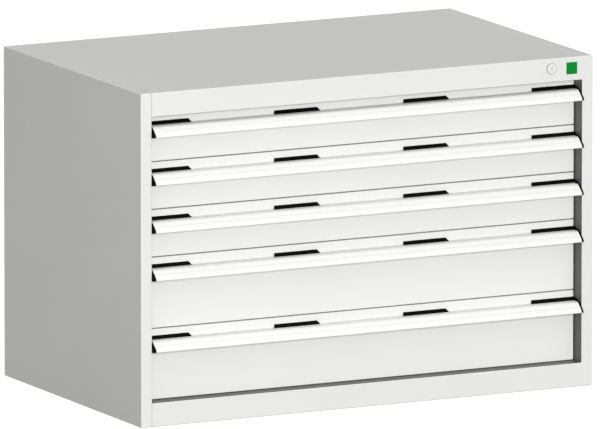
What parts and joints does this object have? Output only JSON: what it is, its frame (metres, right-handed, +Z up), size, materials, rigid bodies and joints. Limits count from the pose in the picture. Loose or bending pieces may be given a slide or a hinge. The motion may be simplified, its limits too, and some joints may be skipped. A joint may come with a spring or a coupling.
{
  "type": "drawer cabinet",
  "caption": "Steel cabinet with full-width drawers on telescopic slides, full-width grip handles and a cam lock.",
  "frame": {"origin": "middle of the cabinet's width and depth on the floor, without the handles", "axes": "+X to the right seen from the front, +Y towards the back, +Z up; the drawers open towards -Y"},
  "size_m": [1.05, 0.6619, 0.7],
  "materials": {
    "body_paint": "light grey powder coat, fine orange-peel texture, satin",
    "drawer_paint": "light grey powder coat, fine orange-peel texture, satin",
    "handle_coat": "extruded aluminium section with a white satin coat",
    "black_plastic": "moulded, fine grain, matte",
    "label_card": "plain white card strip",
    "zinc_steel": "bright zinc-plated steel with faint rolling marks",
    "badge_green": "plain green, semi-gloss",
    "lock_grey": "light grey coated die-cast lock face"
  },
  "bodies": {
    "cabinet": {"side_panel_left": "body_paint", "side_panel_right": "body_paint", "top_panel": "body_paint", "base_panel": "body_paint", "back_panel": "body_paint", "slotted_uprights": "zinc_steel", "cabinet_rails": "zinc_steel", "back_rivets": "zinc_steel", "badge": "badge_green", "lock_housing": "lock_grey", "lock_nut": "zinc_steel", "bar_guides": "black_plastic"},
    "lock_cylinder": {"lock_plug": "lock_grey", "lock_cam": "zinc_steel"},
    "locking_bar": {"locking_bar": "zinc_steel"},
    "drawer_1": {"drawer_1_tray": "drawer_paint", "drawer_1_front": "drawer_paint", "drawer_1_handle": "handle_coat", "drawer_1_handle_clips": "black_plastic", "drawer_1_label": "label_card", "drawer_1_drawer_rails": "zinc_steel"},
    "middle_rails_1": {"drawer_1_middle_rails": "zinc_steel"},
    "cabinet_cages_1": {"drawer_1_cabinet_ball_cages": "zinc_steel"},
    "drawer_cages_1": {"drawer_1_drawer_ball_cages": "zinc_steel"},
    "drawer_2": {"drawer_2_tray": "drawer_paint", "drawer_2_front": "drawer_paint", "drawer_2_handle": "handle_coat", "drawer_2_handle_clips": "black_plastic", "drawer_2_label": "label_card", "drawer_2_drawer_rails": "zinc_steel"},
    "middle_rails_2": {"drawer_2_middle_rails": "zinc_steel"},
    "cabinet_cages_2": {"drawer_2_cabinet_ball_cages": "zinc_steel"},
    "drawer_cages_2": {"drawer_2_drawer_ball_cages": "zinc_steel"},
    "drawer_3": {"drawer_3_tray": "drawer_paint", "drawer_3_front": "drawer_paint", "drawer_3_handle": "handle_coat", "drawer_3_handle_clips": "black_plastic", "drawer_3_label": "label_card", "drawer_3_drawer_rails": "zinc_steel"},
    "middle_rails_3": {"drawer_3_middle_rails": "zinc_steel"},
    "cabinet_cages_3": {"drawer_3_cabinet_ball_cages": "zinc_steel"},
    "drawer_cages_3": {"drawer_3_drawer_ball_cages": "zinc_steel"},
    "drawer_4": {"drawer_4_tray": "drawer_paint", "drawer_4_front": "drawer_paint", "drawer_4_handle": "handle_coat", "drawer_4_handle_clips": "black_plastic", "drawer_4_label": "label_card", "drawer_4_drawer_rails": "zinc_steel"},
    "middle_rails_4": {"drawer_4_middle_rails": "zinc_steel"},
    "cabinet_cages_4": {"drawer_4_cabinet_ball_cages": "zinc_steel"},
    "drawer_cages_4": {"drawer_4_drawer_ball_cages": "zinc_steel"},
    "drawer_5": {"drawer_5_tray": "drawer_paint", "drawer_5_front": "drawer_paint", "drawer_5_handle": "handle_coat", "drawer_5_handle_clips": "black_plastic", "drawer_5_label": "label_card", "drawer_5_drawer_rails": "zinc_steel"},
    "middle_rails_5": {"drawer_5_middle_rails": "zinc_steel"},
    "cabinet_cages_5": {"drawer_5_cabinet_ball_cages": "zinc_steel"},
    "drawer_cages_5": {"drawer_5_drawer_ball_cages": "zinc_steel"}
  },
  "joints": [
    {"name": "drawer_1_slide", "type": "slide", "parent": "cabinet", "child": "drawer_1", "axis": [0, -1, 0], "range_m": [0, 0.575]},
    {"name": "drawer_2_slide", "type": "slide", "parent": "cabinet", "child": "drawer_2", "axis": [0, -1, 0], "range_m": [0, 0.575]},
    {"name": "drawer_3_slide", "type": "slide", "parent": "cabinet", "child": "drawer_3", "axis": [0, -1, 0], "range_m": [0, 0.575]},
    {"name": "drawer_4_slide", "type": "slide", "parent": "cabinet", "child": "drawer_4", "axis": [0, -1, 0], "range_m": [0, 0.575]},
    {"name": "drawer_5_slide", "type": "slide", "parent": "cabinet", "child": "drawer_5", "axis": [0, -1, 0], "range_m": [0, 0.575]},
    {"name": "middle_rails_1_slide", "type": "slide", "parent": "cabinet", "child": "middle_rails_1", "axis": [0, -1, 0], "range_m": [0, 0.2875]},
    {"name": "cabinet_cages_1_slide", "type": "slide", "parent": "cabinet", "child": "cabinet_cages_1", "axis": [0, -1, 0], "range_m": [0, 0.14375]},
    {"name": "drawer_cages_1_slide", "type": "slide", "parent": "cabinet", "child": "drawer_cages_1", "axis": [0, -1, 0], "range_m": [0, 0.43125]},
    {"name": "middle_rails_2_slide", "type": "slide", "parent": "cabinet", "child": "middle_rails_2", "axis": [0, -1, 0], "range_m": [0, 0.2875]},
    {"name": "cabinet_cages_2_slide", "type": "slide", "parent": "cabinet", "child": "cabinet_cages_2", "axis": [0, -1, 0], "range_m": [0, 0.14375]},
    {"name": "drawer_cages_2_slide", "type": "slide", "parent": "cabinet", "child": "drawer_cages_2", "axis": [0, -1, 0], "range_m": [0, 0.43125]},
    {"name": "middle_rails_3_slide", "type": "slide", "parent": "cabinet", "child": "middle_rails_3", "axis": [0, -1, 0], "range_m": [0, 0.2875]},
    {"name": "cabinet_cages_3_slide", "type": "slide", "parent": "cabinet", "child": "cabinet_cages_3", "axis": [0, -1, 0], "range_m": [0, 0.14375]},
    {"name": "drawer_cages_3_slide", "type": "slide", "parent": "cabinet", "child": "drawer_cages_3", "axis": [0, -1, 0], "range_m": [0, 0.43125]},
    {"name": "middle_rails_4_slide", "type": "slide", "parent": "cabinet", "child": "middle_rails_4", "axis": [0, -1, 0], "range_m": [0, 0.2875]},
    {"name": "cabinet_cages_4_slide", "type": "slide", "parent": "cabinet", "child": "cabinet_cages_4", "axis": [0, -1, 0], "range_m": [0, 0.14375]},
    {"name": "drawer_cages_4_slide", "type": "slide", "parent": "cabinet", "child": "drawer_cages_4", "axis": [0, -1, 0], "range_m": [0, 0.43125]},
    {"name": "middle_rails_5_slide", "type": "slide", "parent": "cabinet", "child": "middle_rails_5", "axis": [0, -1, 0], "range_m": [0, 0.2875]},
    {"name": "cabinet_cages_5_slide", "type": "slide", "parent": "cabinet", "child": "cabinet_cages_5", "axis": [0, -1, 0], "range_m": [0, 0.14375]},
    {"name": "drawer_cages_5_slide", "type": "slide", "parent": "cabinet", "child": "drawer_cages_5", "axis": [0, -1, 0], "range_m": [0, 0.43125]},
    {"name": "lock_turn", "type": "hinge", "parent": "cabinet", "child": "lock_cylinder", "pos_m": [0.428, -0.325, 0.6785], "axis": [0, -1, 0], "range_deg": [0, 90]},
    {"name": "locking_bar_lift", "type": "slide", "parent": "cabinet", "child": "locking_bar", "axis": [0, 0, 1], "range_m": [0, 0.01697]}
  ],
  "couplings": [
    {"joint": "middle_rails_1_slide", "follows": "drawer_1_slide", "ratio": 0.5},
    {"joint": "cabinet_cages_1_slide", "follows": "drawer_1_slide", "ratio": 0.25},
    {"joint": "drawer_cages_1_slide", "follows": "drawer_1_slide", "ratio": 0.75},
    {"joint": "middle_rails_2_slide", "follows": "drawer_2_slide", "ratio": 0.5},
    {"joint": "cabinet_cages_2_slide", "follows": "drawer_2_slide", "ratio": 0.25},
    {"joint": "drawer_cages_2_slide", "follows": "drawer_2_slide", "ratio": 0.75},
    {"joint": "middle_rails_3_slide", "follows": "drawer_3_slide", "ratio": 0.5},
    {"joint": "cabinet_cages_3_slide", "follows": "drawer_3_slide", "ratio": 0.25},
    {"joint": "drawer_cages_3_slide", "follows": "drawer_3_slide", "ratio": 0.75},
    {"joint": "middle_rails_4_slide", "follows": "drawer_4_slide", "ratio": 0.5},
    {"joint": "cabinet_cages_4_slide", "follows": "drawer_4_slide", "ratio": 0.25},
    {"joint": "drawer_cages_4_slide", "follows": "drawer_4_slide", "ratio": 0.75},
    {"joint": "middle_rails_5_slide", "follows": "drawer_5_slide", "ratio": 0.5},
    {"joint": "cabinet_cages_5_slide", "follows": "drawer_5_slide", "ratio": 0.25},
    {"joint": "drawer_cages_5_slide", "follows": "drawer_5_slide", "ratio": 0.75},
    {"joint": "lock_turn", "follows": "locking_bar_lift", "rad_per_m": 92.56}
  ]
}
